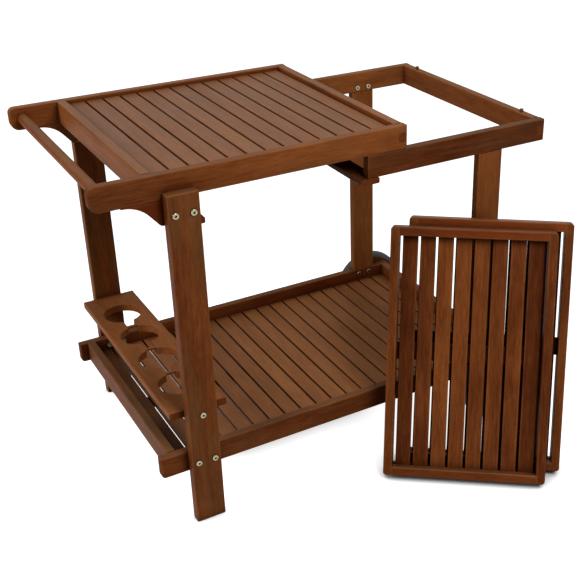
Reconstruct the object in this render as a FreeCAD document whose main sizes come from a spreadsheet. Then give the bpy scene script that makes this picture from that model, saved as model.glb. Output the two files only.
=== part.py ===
"""Wooden serving trolley: slatted top, open tray frame, bottle board, shelf, two wheels, two loose trays.

Millimetres. X runs along the trolley from the handle to the tray frame, Y across it (near side negative),
Z up from the floor. The origin is on the floor under the middle of the trolley.
"""
import FreeCAD
import Part
import math
import os
import re
import Sketcher

doc = FreeCAD.newDocument("serving_trolley")

# Driving sizes, then the levels and positions that follow from them

SIZES = [
    ("width", "576"),
    ("top_height", "800"),
    ("top_length", "685"),
    ("frame_length", "470"),
    ("top_overlap", "95"),
    ("rail_thickness", "20"),
    ("edge_rounding", "3"),
    ("end_rounding", "2.5"),
    ("slat_thickness", "10"),
    ("slat_rounding", "1.5"),
    ("slat_width", "36"),
    ("finger_height", "22"),
    ("tenon_thickness", "10"),
    ("stub_tenon_length", "10"),
    ("stub_tenon_height", "28"),
    ("cleat_width", "22"),
    ("cleat_height", "8"),
    ("batten_width", "40"),
    ("joint_clearance", "0.1"),
    ("top_rail_height", "52"),
    ("top_recess", "9"),
    ("top_slat_count", "13"),
    ("handle_reach", "108"),
    ("nose_top_radius", "13"),
    ("nose_bottom_radius", "20"),
    ("handle_bar_diameter", "24"),
    ("handle_bar_setback", "28"),
    ("handle_bar_depth", "12"),
    ("frame_rail_height", "51"),
    ("peg_diameter", "9"),
    ("peg_height", "7"),
    ("peg_depth", "15"),
    ("peg_inset", "70"),
    ("crossbar_width", "45"),
    ("crossbar_thickness", "13"),
    ("crossbar_overhang", "17"),
    ("bracket_reach", "80"),
    ("bracket_tip", "1.5"),
    ("bracket_toe", "6"),
    ("bracket_slope", "50"),
    ("bracket_radius", "66"),
    ("bracket_toe_radius", "12"),
    ("left_leg_width", "66"),
    ("left_leg_thickness", "25"),
    ("left_leg_setback", "138"),
    ("left_leg_lap", "16"),
    ("right_leg_width", "65"),
    ("right_leg_setback", "46"),
    ("right_leg_tenon_width", "45"),
    ("right_leg_tenon_length", "25"),
    ("shelf_rail_height", "50"),
    ("shelf_recess", "32"),
    ("shelf_slat_count", "21"),
    ("shelf_overhang", "60"),
    ("shelf_horn", "20"),
    ("shelf_horn_radius", "9"),
    ("frame_overhang", "71"),
    ("rack_height", "278"),
    ("rack_width", "128"),
    ("rack_thickness", "17"),
    ("bottle_diameter", "90"),
    ("bottle_pitch", "122"),
    ("bottle_count", "4"),
    ("bottle_neck_width", "24"),
    ("bottle_neck_rounding", "4"),
    ("bottle_bridge_width", "8"),
    ("bottle_bridge_thickness", "3.5"),
    ("bottle_bridge_offset", "10"),
    ("wheel_diameter", "200"),
    ("wheel_width", "26"),
    ("disc_thickness", "20"),
    ("tyre_thickness", "12"),
    ("tyre_rounding", "8"),
    ("wheel_gap", "4"),
    ("wheel_setback", "42"),
    ("axle_diameter", "10"),
    ("axle_drop", "23"),
    ("running_clearance", "0.05"),
    ("side_play", "0.3"),
    ("bush_diameter", "18"),
    ("washer_diameter", "24"),
    ("cap_diameter", "22"),
    ("cap_length", "8"),
    ("cap_end", "2"),
    ("cap_rounding", "1.5"),
    ("block_length", "64"),
    ("block_drop", "23"),
    ("bolt_head_diameter", "13.5"),
    ("bolt_head_height", "3.5"),
    ("bolt_socket_width", "5.5"),
    ("bolt_socket_depth", "2.5"),
    ("bolt_diameter", "6"),
    ("bolt_row", "37"),
    ("nut_sleeve_diameter", "9"),
    ("nut_sleeve_length", "14"),
    ("leg_bolt_end_gap", "3"),
    ("shelf_bolt_drop", "19"),
    ("rack_bolt_length", "62"),
    ("barrel_diameter", "12"),
    ("barrel_length", "13"),
    ("right_bolt_row", "33"),
    ("right_bolt_length", "15"),
    ("right_bolt_edge", "12"),
    ("dowel_diameter", "8"),
    ("dowel_length", "30"),
    ("dowel_row", "46"),
    ("rack_dowel_row", "48"),
    ("screw_diameter", "4"),
    ("screw_head_diameter", "8"),
    ("screw_head_height", "3"),
    ("screw_bite", "18"),
    ("screw_edge", "7"),
    ("screw_row", "14"),
    ("block_screw_sink", "20"),
    ("block_screw_edge", "4"),
    ("tray_play", "7.5"),
    ("tray_setback", "1.5"),
    ("tray_depth", "50"),
    ("tray_rail", "20"),
    ("tray_corner", "7"),
    ("tray_slat_count", "8"),
    ("tray_slat_width", "34"),
    ("tray_recess", "23"),
    ("tray_groove", "8"),
    ("tray_batten_thickness", "12"),
    ("tray_turn", "38"),
    ("tray_lean", "18.2"),
    ("tray_ease", "4.3"),
    ("tray_twist", "0.7"),
    ("tray_tilt", "0.2"),
    ("tray_shift", "35"),
    ("contact_gap", "0.3"),
    ("half_width", "= width / 2"),
    ("inner_half", "= half_width - rail_thickness"),
    ("rail_middle", "= half_width - rail_thickness / 2"),
    ("nose", "= -(top_length + frame_length - top_overlap) / 2"),
    ("top_right", "= nose + top_length"),
    ("top_left", "= nose + handle_reach"),
    ("top_underside", "= top_height - top_rail_height"),
    ("top_middle", "= top_height - top_rail_height / 2"),
    ("top_deck", "= top_height - top_recess"),
    ("top_field_start", "= top_left + rail_thickness"),
    ("top_field", "= top_right - rail_thickness - top_field_start"),
    ("top_slat_gap", "= (top_field - top_slat_count * slat_width) / (top_slat_count + 1)"),
    ("handle_bar_place", "= nose + handle_bar_setback"),
    ("frame_left", "= top_right - top_overlap"),
    ("frame_right", "= frame_left + frame_length"),
    ("lap_middle", "= frame_left + (top_overlap - rail_thickness) / 2"),
    ("frame_underside", "= top_underside - frame_rail_height"),
    ("frame_middle", "= top_underside - frame_rail_height / 2"),
    ("crossbar_middle", "= frame_underside - crossbar_thickness / 2"),
    ("left_leg_edge", "= nose + left_leg_setback"),
    ("left_leg_middle", "= left_leg_edge + left_leg_width / 2"),
    ("left_leg_face", "= half_width + left_leg_thickness"),
    ("left_leg_top", "= top_underside + left_leg_lap"),
    ("bracket_right", "= left_leg_edge + left_leg_width"),
    ("bracket_start", "= left_leg_edge - bracket_reach"),
    ("shelf_left", "= left_leg_edge - shelf_overhang"),
    ("shelf_right", "= frame_right - frame_overhang"),
    ("shelf_height", "= wheel_diameter / 2 + axle_drop + shelf_rail_height"),
    ("shelf_underside", "= shelf_height - shelf_rail_height"),
    ("shelf_middle", "= shelf_height - shelf_rail_height / 2"),
    ("shelf_deck", "= shelf_height - shelf_recess"),
    ("shelf_field_start", "= shelf_left + shelf_horn + rail_thickness"),
    ("shelf_field", "= shelf_right - rail_thickness - shelf_field_start"),
    ("shelf_slat_gap", "= (shelf_field - shelf_slat_count * slat_width) / (shelf_slat_count - 1)"),
    ("shelf_bolt_level", "= shelf_height - shelf_bolt_drop"),
    ("shelf_leg_bolt_level", "= shelf_height - right_bolt_edge"),
    ("frame_leg_bolt_level", "= frame_underside + right_bolt_edge"),
    ("right_leg_edge", "= shelf_right - right_leg_setback - right_leg_width"),
    ("right_leg_middle", "= right_leg_edge + right_leg_width / 2"),
    ("rack_middle", "= rack_height - rack_thickness / 2"),
    ("barrel_place", "= left_leg_face - rack_bolt_length + barrel_diameter / 2"),
    ("axle_place", "= shelf_right - wheel_setback"),
    ("block_screw_row", "= 2 * (shelf_right - rail_thickness - block_screw_edge - axle_place)"),
    ("axle_height", "= wheel_diameter / 2"),
    ("disc_radius", "= wheel_diameter / 2 - tyre_thickness"),
    ("wheel_inside", "= half_width + wheel_gap"),
    ("wheel_outside", "= wheel_inside + wheel_width"),
    ("wheel_middle", "= wheel_inside + wheel_width / 2"),
    ("block_underside", "= axle_height - block_drop"),
    ("tray_width", "= frame_length - top_overlap - tray_play"),
    ("tray_length", "= width - 2 * tray_setback"),
    ("tray_field", "= tray_width - 2 * tray_rail"),
    ("tray_slat_gap", "= (tray_field - tray_slat_count * tray_slat_width) / (tray_slat_count + 1)"),
]
NAMES = {name for name, _ in SIZES}

sheet = doc.addObject("Spreadsheet::Sheet", "Sizes")
for row, (size_name, size_value) in enumerate(SIZES, 1):
    sheet.set("A%d" % row, size_name)
    sheet.set("B%d" % row, size_value)
    sheet.setAlias("B%d" % row, size_name)
doc.recompute()

SIDES = ("near", "far")
nodes = []


def formula(text):
    """The text with every size name pointing at its cell."""
    return re.sub(r"[a-z_]+", lambda word: "Sizes." + word[0] if word[0] in NAMES else word[0], text)


def value(text):
    """The number that a formula of size names comes to, in millimetres or degrees."""
    return float(sheet.evalExpression(formula(text)))


def place(piece, x, y, z):
    """Binds the piece's position to three formulas."""
    for axis, text in zip("xyz", (x, y, z)):
        piece.setExpression("Placement.Base." + axis, formula(text))


def node(piece, label):
    """Marks a finished piece as one of the trolley's sub-parts."""
    piece.Label = label
    nodes.append(piece)
    return piece


def across(side, inner, outer):
    """Low and high Y formulas of a span between two distances from the middle, on one side."""
    if side == "near":
        return "-(" + outer + ")", "-(" + inner + ")"
    return inner, outer


def signed(side, distance):
    """The distance from the middle as a Y formula on one side."""
    return "-(" + distance + ")" if side == "near" else distance


# Stock shapes and cutting tools

def box(name, low, high):
    """Block between two corners given as formulas."""
    piece = doc.addObject("Part::Box", name)
    for side_name, start, end in zip(("Length", "Width", "Height"), low, high):
        piece.setExpression(side_name, formula("(" + end + ") - (" + start + ")"))
    place(piece, *low)
    return piece


TURNS = {
    "x": FreeCAD.Rotation(FreeCAD.Vector(0, 1, 0), 90),
    "y": FreeCAD.Rotation(FreeCAD.Vector(1, 0, 0), -90),
    "z": FreeCAD.Rotation(),
}


def rod(name, axis, diameter, start, length):
    """Round bar from its start point along an axis."""
    piece = doc.addObject("Part::Cylinder", name)
    piece.setExpression("Radius", formula("(" + diameter + ") / 2"))
    piece.setExpression("Height", formula(length))
    piece.Placement = FreeCAD.Placement(FreeCAD.Vector(), TURNS[axis])
    place(piece, *start)
    return piece


def rod_across(name, side, diameter, x, inner, outer, z):
    """Round bar across the trolley between two distances from its middle."""
    low, high = across(side, inner, outer)
    return rod(name, "y", diameter, (x, low, z), "(" + high + ") - (" + low + ")")


def fuse(name, pieces):
    joined = doc.addObject("Part::MultiFuse", name)
    joined.Shapes = pieces
    return joined


def cut(name, base, tools):
    """The base with every tool taken out of it."""
    result = doc.addObject("Part::Cut", name)
    result.Base = base
    result.Tool = tools[0] if len(tools) == 1 else fuse(name + "_tools", tools)
    return result


def rounded_edges(name, base, radius, chosen):
    """The base with the chosen edges rounded."""
    doc.recompute()
    result = doc.addObject("Part::Fillet", name)
    result.Base = base
    size = value(radius)
    result.Edges = [(number, size, size) for number, edge in enumerate(base.Shape.Edges, 1) if chosen(edge)]
    return result


def body_plane(body, role):
    return [feature for feature in body.Origin.OriginFeatures if feature.Role == role][0]


def new_sketch(body, role):
    sketch = body.newObject("Sketcher::SketchObject", body.Name + "_sketch")
    sketch.AttachmentSupport = [(body_plane(body, role), "")]
    sketch.MapMode = "FlatFace"
    return sketch


def bound(sketch, constraint, name, text):
    """Adds a constraint and ties its size to a formula."""
    number = sketch.addConstraint(constraint)
    sketch.renameConstraint(number, name)
    sketch.setExpression("Constraints." + name, formula(text))


def rounded_section(sketch, wide, tall, rounding):
    """Rectangle with rounded corners about the sketch's origin."""
    half_wide = value(wide) / 2
    half_tall = value(tall) / 2
    radius = value(rounding)
    up = FreeCAD.Vector(0, 0, 1)
    turn_points = [(1, -1), (1, 1), (-1, 1), (-1, -1)]
    centres = [FreeCAD.Vector(i * (half_wide - radius), j * (half_tall - radius), 0) for i, j in turn_points]
    for corner in range(4):
        outward = FreeCAD.Rotation(up, 90 * corner - 90).multVec(FreeCAD.Vector(radius, 0, 0))
        side = Part.LineSegment(centres[corner - 1] + outward, centres[corner] + outward)
        sketch.addGeometry(side)
        start_angle = math.radians(90 * corner - 90)
        circle = Part.Circle(centres[corner], up, radius)
        arc = Part.ArcOfCircle(circle, start_angle, start_angle + math.pi / 2)
        sketch.addGeometry(arc)
    for corner in range(4):
        line = 2 * corner
        sketch.addConstraint(Sketcher.Constraint("Tangent", line, 2, line + 1, 1))
        sketch.addConstraint(Sketcher.Constraint("Tangent", line + 1, 2, (line + 2) % 8, 1))
        sketch.addConstraint(Sketcher.Constraint("Vertical" if corner % 2 else "Horizontal", line))
    for arc in (3, 5, 7):
        sketch.addConstraint(Sketcher.Constraint("Equal", 1, arc))
    sketch.addConstraint(Sketcher.Constraint("Symmetric", 0, 1, 4, 1, -1, 1))
    bound(sketch, Sketcher.Constraint("Radius", 1, radius), "corner", rounding)
    bound(sketch, Sketcher.Constraint("DistanceX", 6, 1, 2, 1, 2 * half_wide), "wide", wide)
    bound(sketch, Sketcher.Constraint("DistanceY", 0, 1, 4, 1, 2 * half_tall), "tall", tall)


SECTION_PLANES = {"x": "YZ_Plane", "y": "XZ_Plane", "z": "XY_Plane"}


def stock(name, axis, wide, tall, length, at, rounding="edge_rounding"):
    """Straight board with rounded long edges. It starts at the given point, or is centred on it along Y."""
    body = doc.addObject("PartDesign::Body", name)
    rounded_section(new_sketch(body, SECTION_PLANES[axis]), wide, tall, rounding)
    pad = body.newObject("PartDesign::Pad", name + "_length")
    pad.Profile = doc.getObject(name + "_sketch")
    pad.setExpression("Length", formula(length))
    pad.SideType = "Symmetric" if axis == "y" else "One side"
    body.Tip = pad
    place(body, *at)
    return body


def row_of(body, plane_axis, count, pitch):
    """Repeats the body's board along one of its origin's axes."""
    body.AllowCompound = True
    pattern = body.newObject("PartDesign::LinearPattern", body.Name + "_row")
    pattern.Originals = [body.Tip]
    pattern.Direction = (body_plane(body, plane_axis), [""])
    pattern.Mode = "Spacing"
    pattern.setExpression("Offset", formula(pitch))
    pattern.setExpression("Occurrences", formula(count))
    body.Tip = pattern
    return body


def fillet(body, radius, chosen):
    """Rounds the chosen edges of the body's last feature."""
    doc.recompute()
    base = body.Tip
    names = ["Edge%d" % number for number, edge in enumerate(base.Shape.Edges, 1) if chosen(edge)]
    feature = body.newObject("PartDesign::Fillet", body.Name + "_rounding")
    feature.Base = (base, names)
    feature.setExpression("Radius", formula(radius))
    body.Tip = feature


def plank(name, corners, thickness, at):
    """Board with a shaped outline in the XZ plane, its thickness centred on the given point."""
    body = doc.addObject("PartDesign::Body", name)
    sketch = new_sketch(body, "XZ_Plane")
    points = [FreeCAD.Vector(value(x), value(z), 0) for x, z in corners]
    count = len(points)
    for number in range(count):
        sketch.addGeometry(Part.LineSegment(points[number], points[(number + 1) % count]))
    for number in range(count):
        sketch.addConstraint(Sketcher.Constraint("Coincident", number, 2, (number + 1) % count, 1))
    for number, (x, z) in enumerate(corners):
        right = Sketcher.Constraint("DistanceX", -1, 1, number, 1, points[number].x)
        bound(sketch, right, "right%d" % number, x)
        up = Sketcher.Constraint("DistanceY", -1, 1, number, 1, points[number].y)
        bound(sketch, up, "up%d" % number, z)
    pad = body.newObject("PartDesign::Pad", name + "_thickness")
    pad.Profile = sketch
    pad.setExpression("Length", formula(thickness))
    pad.SideType = "Symmetric"
    body.Tip = pad
    place(body, *at)
    return body


def at_corner(x, z):
    """Picks the edges that cross the thickness of a plank at one corner of its outline."""
    def chosen(edge):
        ends = [vertex.Point for vertex in edge.Vertexes]
        return all(math.hypot(end.x - value(x), end.z - value(z)) < 0.01 for end in ends)
    return chosen


def on_faces(thickness, except_right_of=None, except_above=None):
    """Picks the outline edges on a plank's two broad faces."""
    def chosen(edge):
        half = value(thickness) / 2
        if any(abs(abs(vertex.Point.y) - half) > 0.01 for vertex in edge.Vertexes):
            return False
        middle = edge.CenterOfMass
        if abs(abs(middle.y) - half) > 0.01:
            return False
        if except_right_of and middle.x > value(except_right_of) - 0.01:
            return False
        return not (except_above and middle.z > value(except_above) - 0.01)
    return chosen


def at_ends(edge):
    """Picks the edges round the two ends of an upright board."""
    low, high = edge.BoundBox.ZMin, edge.BoundBox.ZMax
    return high - low < 0.01


# Finger and stub tenon joints between the side rails and the end rails

def finger(name, side, right, level):
    """The middle finger of an end rail, which passes through the side rail to its outer face."""
    low, high = across(side, "inner_half", "half_width")
    bottom = level + " - finger_height / 2"
    top = level + " + finger_height / 2"
    return box(name, (right + " - rail_thickness", low, bottom), (right, high, top))


def stub(name, side, left, level):
    """The blind tenon of an end rail in the inner face of a side rail."""
    low, high = across(side, "inner_half", "inner_half + stub_tenon_length")
    start = left + " + (rail_thickness - tenon_thickness) / 2"
    bottom = level + " - stub_tenon_height / 2"
    top = level + " + stub_tenon_height / 2"
    return box(name, (start, low, bottom), (start + " + tenon_thickness", high, top))


def end_rail(name, left, height, level, joint, joint_at):
    """End rail between the side rails, with a joint at each end."""
    middle = stock(name + "_board", "y", "rail_thickness", height, "2 * inner_half",
                   (left + " + rail_thickness / 2", "0", level))
    tongues = [joint(name + "_tongue_" + side, side, joint_at, level) for side in SIDES]
    return node(fuse(name, [middle] + tongues), name)


def leg_bolt_hole(name, side, x, level, inner):
    """Clearance hole for a bolt shank through a left leg and what it holds."""
    return rod_across(name, side, "bolt_diameter + 2 * joint_clearance", x, inner, "left_leg_face", level)


def nut_hole(name, side, x, level):
    """Hole for a sleeve nut in the inner face of a rail or bracket."""
    return rod_across(name, side, "nut_sleeve_diameter + 2 * joint_clearance", x, "inner_half",
                      "inner_half + nut_sleeve_length + joint_clearance", level)


def right_bolt_hole(name, side, x, level):
    """Blind hole for a bolt from the inner face of a rail through a right leg's tenon."""
    return rod_across(name, side, "bolt_diameter + 2 * joint_clearance", x, "inner_half",
                      "inner_half + right_bolt_length + joint_clearance", level)


def dowel_hole(name, x, y, level):
    """Upright dowel hole, half above and half below a joint."""
    start = level + " - dowel_length / 2 - joint_clearance"
    return rod(name, "z", "dowel_diameter + 2 * joint_clearance", (x, y, start),
               "dowel_length + 2 * joint_clearance")


def screw_hole(name, x, y, start, sink, length):
    """Upright screw hole from below, with a wider sink for the head."""
    shank = rod(name + "_shank", "z", "screw_diameter + 2 * joint_clearance", (x, y, start),
                length + " + joint_clearance")
    head = rod(name + "_head", "z", "screw_head_diameter + 2 * joint_clearance", (x, y, start), sink)
    return fuse(name, [shank, head])


LEG_BOLT_PLACES = ["left_leg_middle - bolt_row / 2", "left_leg_middle + bolt_row / 2"]
RIGHT_BOLT_PLACES = ["right_leg_middle - right_bolt_row / 2", "right_leg_middle + right_bolt_row / 2"]
BRACKET_DOWEL_PLACES = ["left_leg_middle - dowel_row / 2", "left_leg_middle + dowel_row / 2"]
FRAME_DOWEL_PLACES = ["lap_middle - dowel_row / 2", "lap_middle + dowel_row / 2"]
RACK_DOWEL_PLACES = ["left_leg_middle - rack_dowel_row / 2", "left_leg_middle + rack_dowel_row / 2"]
BRACKET_SCREW_PLACES = ["bracket_right - screw_edge - screw_row", "bracket_right - screw_edge"]
FRAME_SCREW_PLACES = ["frame_left + screw_edge", "frame_left + screw_edge + screw_row"]
BLOCK_SCREW_PLACES = ["axle_place - block_screw_row / 2", "axle_place + block_screw_row / 2"]
CROSSBAR_SCREW_LENGTH = "crossbar_thickness + screw_bite"
BLOCK_SCREW_LENGTH = "shelf_underside - block_underside + screw_bite"


def crossbar_screw_hole(name, x, side):
    return screw_hole(name, x, signed(side, "rail_middle"), "frame_underside - crossbar_thickness",
                      "screw_head_height", CROSSBAR_SCREW_LENGTH)


def block_screw_hole(name, x, side):
    return screw_hole(name, x, signed(side, "rail_middle"), "block_underside",
                      "block_screw_sink + screw_head_height", BLOCK_SCREW_LENGTH)


# Top: side rails with the handle, end rails, slats on cleats and a batten

def top_rail(side):
    name = "top_rail_" + side
    board = plank(name + "_board", [("0", "0"), ("top_length", "0"), ("top_length", "top_rail_height"),
                                    ("0", "top_rail_height")], "rail_thickness",
                  ("nose", signed(side, "rail_middle"), "top_underside"))
    fillet(board, "nose_top_radius", at_corner("0", "top_rail_height"))
    fillet(board, "nose_bottom_radius", at_corner("0", "0"))
    fillet(board, "edge_rounding", on_faces("rail_thickness", except_right_of="top_length"))
    tools = [finger(name + "_notch", side, "top_right", "top_middle")]
    tools.append(stub(name + "_mortise", side, "top_left", "top_middle"))
    tools.append(rod_across(name + "_bar_hole", side, "handle_bar_diameter + 2 * joint_clearance",
                            "handle_bar_place", "inner_half", "inner_half + handle_bar_depth", "top_middle"))
    for number, x in enumerate(BRACKET_DOWEL_PLACES + FRAME_DOWEL_PLACES):
        tools.append(dowel_hole(name + "_dowel%d" % number, x, signed(side, "rail_middle"), "top_underside"))
    node(cut(name, board, tools), name)


def handle_bar():
    half = "inner_half + handle_bar_depth - joint_clearance"
    bar = rod("handle_bar", "y", "handle_bar_diameter", ("handle_bar_place", "-(" + half + ")", "top_middle"),
              "2 * (" + half + ")")
    node(bar, "handle_bar")


def slats(name, count, gap, start, deck):
    """A deck of boards across the trolley."""
    board = stock(name, "y", "slat_width", "slat_thickness", "2 * (inner_half - contact_gap)",
                  (start + " + slat_width / 2", "0", deck + " - slat_thickness / 2"), "slat_rounding")
    node(row_of(board, "X_Axis", count, "slat_width + " + gap), name)


def cleats(name, start, length, deck):
    """Two strips along the side rails that carry the slats."""
    strips = []
    level = deck + " - slat_thickness - cleat_height"
    for side in SIDES:
        low, high = across(side, "inner_half - cleat_width", "inner_half")
        strips.append(box(name + "_" + side, (start, low, level),
                          (start + " + " + length, high, level + " + cleat_height")))
    group = doc.addObject("Part::Compound", name)
    group.Links = strips
    node(group, name)


def batten(name, start, length, deck):
    """Strip along the middle that holds the slats from below."""
    board = stock(name, "x", "batten_width", "cleat_height", length,
                  (start, "0", deck + " - slat_thickness - cleat_height / 2"), "slat_rounding")
    node(board, name)


def handle_bracket(side):
    """Shaped block under the top rail that the left leg is bolted to."""
    name = "handle_bracket_" + side
    length = "bracket_right - bracket_start"
    toe = "bracket_reach - bracket_toe"
    swoop = toe + " - (frame_rail_height - bracket_tip) / tan(bracket_slope * 1 deg)"
    outline = [(length, "0"), (length, "frame_rail_height"), ("0", "frame_rail_height"),
               ("0", "frame_rail_height - bracket_tip"), (swoop, "frame_rail_height - bracket_tip"),
               (toe, "0")]
    board = plank(name + "_board", outline, "rail_thickness",
                  ("bracket_start", signed(side, "rail_middle"), "frame_underside"))
    fillet(board, "bracket_radius", at_corner(swoop, "frame_rail_height - bracket_tip"))
    fillet(board, "bracket_toe_radius", at_corner(toe, "0"))
    tools = []
    for number, x in enumerate(LEG_BOLT_PLACES):
        tools.append(leg_bolt_hole(name + "_bolt%d" % number, side, x, "frame_middle", "inner_half"))
        tools.append(nut_hole(name + "_nut%d" % number, side, x, "frame_middle"))
    for number, x in enumerate(BRACKET_DOWEL_PLACES):
        tools.append(dowel_hole(name + "_dowel%d" % number, x, signed(side, "rail_middle"), "top_underside"))
    for number, x in enumerate(BRACKET_SCREW_PLACES):
        tools.append(crossbar_screw_hole(name + "_screw%d" % number, x, side))
    node(cut(name, board, tools), name)


def crossbar(name, left, screw_places):
    """Flat board across the underside that ties both sides together."""
    board = stock(name + "_board", "y", "crossbar_width", "crossbar_thickness", "width",
                  (left + " + crossbar_width / 2", "0", "crossbar_middle"))
    tools = []
    for side in SIDES:
        for number, x in enumerate(screw_places):
            tools.append(crossbar_screw_hole(name + "_%s%d" % (side, number), x, side))
    node(cut(name, board, tools), name)


# Tray frame: side rails under the top, end rail with pegs

def frame_rail(side):
    name = "frame_rail_" + side
    board = stock(name + "_board", "x", "rail_thickness", "frame_rail_height", "frame_length",
                  ("frame_left", signed(side, "rail_middle"), "frame_middle"))
    tools = [finger(name + "_notch", side, "frame_right", "frame_middle")]
    tools.append(leg_tenon(name + "_mortise", side, "frame_underside",
                           "frame_underside + right_leg_tenon_length"))
    for number, x in enumerate(RIGHT_BOLT_PLACES):
        tools.append(right_bolt_hole(name + "_bolt%d" % number, side, x, "frame_leg_bolt_level"))
    for number, x in enumerate(FRAME_DOWEL_PLACES):
        tools.append(dowel_hole(name + "_dowel%d" % number, x, signed(side, "rail_middle"), "top_underside"))
    for number, x in enumerate(FRAME_SCREW_PLACES):
        tools.append(crossbar_screw_hole(name + "_screw%d" % number, x, side))
    node(cut(name, board, tools), name)


def peg_place(side):
    return ("frame_right - rail_thickness / 2", signed(side, "half_width - peg_inset"),
            "top_underside - peg_depth")


def frame_end_rail():
    name = "frame_end_rail"
    board = stock(name + "_board", "y", "rail_thickness", "frame_rail_height", "2 * inner_half",
                  ("frame_right - rail_thickness / 2", "0", "frame_middle"))
    tongues = [finger(name + "_tongue_" + side, side, "frame_right", "frame_middle") for side in SIDES]
    width = "peg_diameter + 2 * joint_clearance"
    holes = [rod(name + "_hole_" + side, "z", width, peg_place(side), "peg_depth") for side in SIDES]
    node(cut(name, fuse(name + "_blank", [board] + tongues), holes), name)


def frame_pegs():
    """Pegs that keep a tray from sliding off the end rail."""
    pegs = []
    for side in SIDES:
        peg = rod("frame_peg_" + side, "z", "peg_diameter", peg_place(side), "peg_depth + peg_height")
        pegs.append(rounded_edges("frame_peg_tip_" + side, peg, "slat_rounding",
                                  lambda edge: edge.BoundBox.ZMin > value("top_underside")
                                  and edge.BoundBox.ZLength < 0.01))
    group = doc.addObject("Part::Compound", "frame_pegs")
    group.Links = pegs
    node(group, "frame_pegs")


# Legs

def left_leg(side):
    """Plank leg outside the rails, bolted to the bracket, the bottle board and the shelf."""
    name = "left_leg_" + side
    board = stock(name + "_board", "z", "left_leg_width", "left_leg_thickness", "left_leg_top",
                  ("left_leg_middle", signed(side, "half_width + left_leg_thickness / 2"), "0"))
    fillet(board, "end_rounding", at_ends)
    tools = []
    for number, x in enumerate(LEG_BOLT_PLACES):
        tools.append(leg_bolt_hole(name + "_top%d" % number, side, x, "frame_middle", "inner_half"))
        tools.append(leg_bolt_hole(name + "_shelf%d" % number, side, x, "shelf_bolt_level", "inner_half"))
    tools.append(leg_bolt_hole(name + "_rack", side, "left_leg_middle", "rack_middle", "inner_half"))
    for number, x in enumerate(RACK_DOWEL_PLACES):
        tools.append(rack_dowel_hole(name + "_dowel%d" % number, side, x))
    node(cut(name, board, tools), name)


def leg_tenon(name, side, bottom, top):
    """Tenon of a right leg, in the middle of the rail's thickness."""
    low, high = across(side, "rail_middle - tenon_thickness / 2", "rail_middle + tenon_thickness / 2")
    start = "right_leg_middle - right_leg_tenon_width / 2"
    return box(name, (start, low, bottom), (start + " + right_leg_tenon_width", high, top))


def right_leg(side):
    """Plank leg between the shelf rail and the frame rail, tenoned and cross-bolted to both."""
    name = "right_leg_" + side
    board = stock(name + "_board", "z", "right_leg_width", "rail_thickness", "frame_underside - shelf_height",
                  ("right_leg_middle", signed(side, "rail_middle"), "shelf_height"))
    tenons = [leg_tenon(name + "_top", side, "frame_underside", "frame_underside + right_leg_tenon_length"),
              leg_tenon(name + "_foot", side, "shelf_height - right_leg_tenon_length", "shelf_height")]
    tools = []
    for number, x in enumerate(RIGHT_BOLT_PLACES):
        tools.append(right_bolt_hole(name + "_upper%d" % number, side, x, "frame_leg_bolt_level"))
        tools.append(right_bolt_hole(name + "_lower%d" % number, side, x, "shelf_leg_bolt_level"))
    node(cut(name, fuse(name + "_blank", [board] + tenons), tools), name)


# Shelf

def shelf_rail(side):
    name = "shelf_rail_" + side
    length = "shelf_right - shelf_left"
    board = plank(name + "_board", [("0", "0"), (length, "0"), (length, "shelf_rail_height"),
                                    ("0", "shelf_rail_height")], "rail_thickness",
                  ("shelf_left", signed(side, "rail_middle"), "shelf_underside"))
    fillet(board, "shelf_horn_radius", at_corner("0", "0"))
    fillet(board, "edge_rounding", on_faces("rail_thickness", except_right_of=length))
    tools = [finger(name + "_notch", side, "shelf_right", "shelf_middle")]
    tools.append(stub(name + "_mortise", side, "shelf_left + shelf_horn", "shelf_middle"))
    tools.append(leg_tenon(name + "_leg_mortise", side, "shelf_height - right_leg_tenon_length",
                           "shelf_height"))
    for number, x in enumerate(RIGHT_BOLT_PLACES):
        tools.append(right_bolt_hole(name + "_leg_bolt%d" % number, side, x, "shelf_leg_bolt_level"))
    for number, x in enumerate(LEG_BOLT_PLACES):
        tools.append(leg_bolt_hole(name + "_bolt%d" % number, side, x, "shelf_bolt_level", "inner_half"))
        tools.append(nut_hole(name + "_nut%d" % number, side, x, "shelf_bolt_level"))
    for number, x in enumerate(BLOCK_SCREW_PLACES):
        tools.append(block_screw_hole(name + "_screw%d" % number, x, side))
    node(cut(name, board, tools), name)


# Bottle board between the left legs

def rack_dowel_hole(name, side, x):
    """Level dowel hole, half in a left leg and half in the end of the bottle board."""
    inner = "half_width - dowel_length / 2 - joint_clearance"
    outer = "half_width + dowel_length / 2 + joint_clearance"
    return rod_across(name, side, "dowel_diameter + 2 * joint_clearance", x, inner, outer, "rack_middle")


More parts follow.
